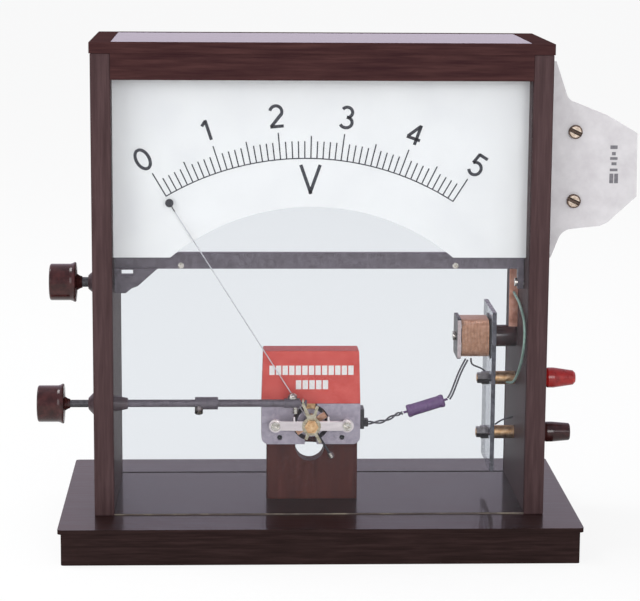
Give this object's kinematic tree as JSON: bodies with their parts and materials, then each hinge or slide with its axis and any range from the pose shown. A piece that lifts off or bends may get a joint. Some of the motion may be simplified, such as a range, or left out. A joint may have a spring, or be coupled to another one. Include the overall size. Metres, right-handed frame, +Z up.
{
  "type": "demonstration meter",
  "caption": "Glazed wooden demonstration meter with an open moving-coil movement, long pointer, slide-in dial plate, side knobs and screw terminals.",
  "frame": {"origin": "middle of the base's flat underside", "axes": "+X to the right as the dial is read, +Y from the front pane to the back, +Z up"},
  "size_m": [0.3976, 0.186, 0.3385],
  "materials": {
    "stained_wood": "dark stained and polished",
    "pillar_wood": "stained and polished",
    "clear_glass": "clear",
    "clear_acrylic": "clear",
    "opal_plastic": "opal white, satin",
    "black_print": "flat black print",
    "red_enamel": "red enamel on a cast magnet",
    "soft_iron": "ground and dull plated",
    "brass": "turned",
    "spring_bronze": "rolled strip",
    "aluminium": "satin",
    "copper_wire": "enamelled wire",
    "copper_sheet": "bare sheet",
    "nickel": "nickel plated",
    "steel": "polished",
    "black_steel": "blackened",
    "brown_phenolic": "moulded, glossy",
    "black_plastic": "moulded",
    "red_plastic": "moulded",
    "grey_enamel": "dark grey enamel",
    "purple_sleeve": "sleeve",
    "dark_insulation": "insulated wire",
    "green_insulation": "insulated wire",
    "black_aluminium": "black anodised"
  },
  "bodies": {
    "case": {"base": "stained_wood", "left_wall": "stained_wood", "right_wall": "stained_wood", "top_frame": "stained_wood", "top_panel": "clear_glass", "front_pane": "clear_glass", "rear_pane": "clear_glass", "bar_pivot_pin": "nickel", "wall_bushes": "brown_phenolic", "pillar": "pillar_wood", "magnet": "red_enamel", "left_pole": "soft_iron", "right_pole": "soft_iron", "pole_screws": "black_steel", "iron_core": "soft_iron", "core_support": "brass", "front_bridge": "aluminium", "bridge_screws": "nickel", "jewel_screws": "brass", "rear_bridge": "aluminium", "rear_hairspring": "spring_bronze", "tag_strip": "black_plastic", "multiplier_board": "clear_acrylic", "bobbin": "black_plastic", "bobbin_winding": "copper_wire", "bobbin_screw": "nickel", "board_spacer": "black_plastic", "terminal_studs": "brass", "terminal_collars": "black_plastic", "terminal_spacers": "brass", "terminal_nuts": "nickel", "swamp_resistor": "purple_sleeve", "dark_leads": "dark_insulation", "green_lead": "green_insulation", "copper_strip": "copper_sheet"},
    "moving_coil": {"pointer": "black_aluminium", "pointer_boss": "black_aluminium", "counterweight": "nickel", "coil_former": "aluminium", "coil_winding": "copper_wire", "pivot_staffs": "steel"},
    "zero_lever": {"zero_arm": "brass", "front_hairspring": "spring_bronze"},
    "zero_tip": {"rod_end": "grey_enamel", "rod_end_screw": "nickel"},
    "zero_screw": {"zero_knob": "brown_phenolic", "zero_rod": "grey_enamel", "rod_coupling": "grey_enamel", "coupling_screw": "nickel"},
    "dial_clamp": {"clamp_knob": "brown_phenolic", "clamp_spindle": "grey_enamel", "clamp_bar": "grey_enamel", "bar_screws": "nickel"},
    "dial": {"dial_plate": "opal_plastic", "dial_marks": "black_print", "dial_screws": "nickel"},
    "red_ring": {"red_washer": "nickel"},
    "red_head": {"red_cap": "red_plastic"},
    "black_ring": {"black_washer": "nickel"},
    "black_head": {"black_cap": "black_plastic"}
  },
  "joints": [
    {"name": "pointer_swing", "type": "hinge", "parent": "case", "child": "moving_coil", "pos_m": [-0.0055, -0.04, 0.0825], "axis": [0, 1, 0], "range_deg": [0, 64.4], "stiffness_Nm_per_rad": 0.0001},
    {"name": "zero_arm_swing", "type": "hinge", "parent": "case", "child": "zero_lever", "pos_m": [-0.0055, -0.04, 0.0825], "axis": [0, 1, 0], "range_deg": [-5.6, 5.6]},
    {"name": "zero_travel", "type": "slide", "parent": "case", "child": "zero_tip", "axis": [1, 0, 0], "range_m": [-0.0015, 0.0015]},
    {"name": "zero_turn", "type": "hinge", "parent": "zero_tip", "child": "zero_screw", "pos_m": [-0.1, -0.0452, 0.0982], "axis": [1, 0, 0], "range_deg": [-540.5, 540.5]},
    {"name": "clamp_turn", "type": "hinge", "parent": "case", "child": "dial_clamp", "pos_m": [-0.14, -0.0317, 0.178], "axis": [-1, 0, 0], "range_deg": [0, 30]},
    {"name": "dial_slide", "type": "slide", "parent": "case", "child": "dial", "axis": [1, 0, 0], "range_m": [0, 0.285]},
    {"name": "red_travel", "type": "slide", "parent": "case", "child": "red_ring", "axis": [1, 0, 0], "range_m": [0, 0.005]},
    {"name": "red_turn", "type": "hinge", "parent": "red_ring", "child": "red_head", "pos_m": [0.16, 0.005, 0.1045], "axis": [1, 0, 0], "range_deg": [0, 1800.5]},
    {"name": "black_travel", "type": "slide", "parent": "case", "child": "black_ring", "axis": [1, 0, 0], "range_m": [0, 0.005]},
    {"name": "black_turn", "type": "hinge", "parent": "black_ring", "child": "black_head", "pos_m": [0.16, 0.005, 0.066], "axis": [1, 0, 0], "range_deg": [0, 1800.5]}
  ],
  "couplings": [
    {"joint": "zero_turn", "follows": "zero_travel", "rad_per_m": 6283.2},
    {"joint": "zero_arm_swing", "follows": "zero_travel", "rad_per_m": 63.694},
    {"joint": "red_turn", "follows": "red_travel", "rad_per_m": 6283.2},
    {"joint": "black_turn", "follows": "black_travel", "rad_per_m": 6283.2}
  ]
}
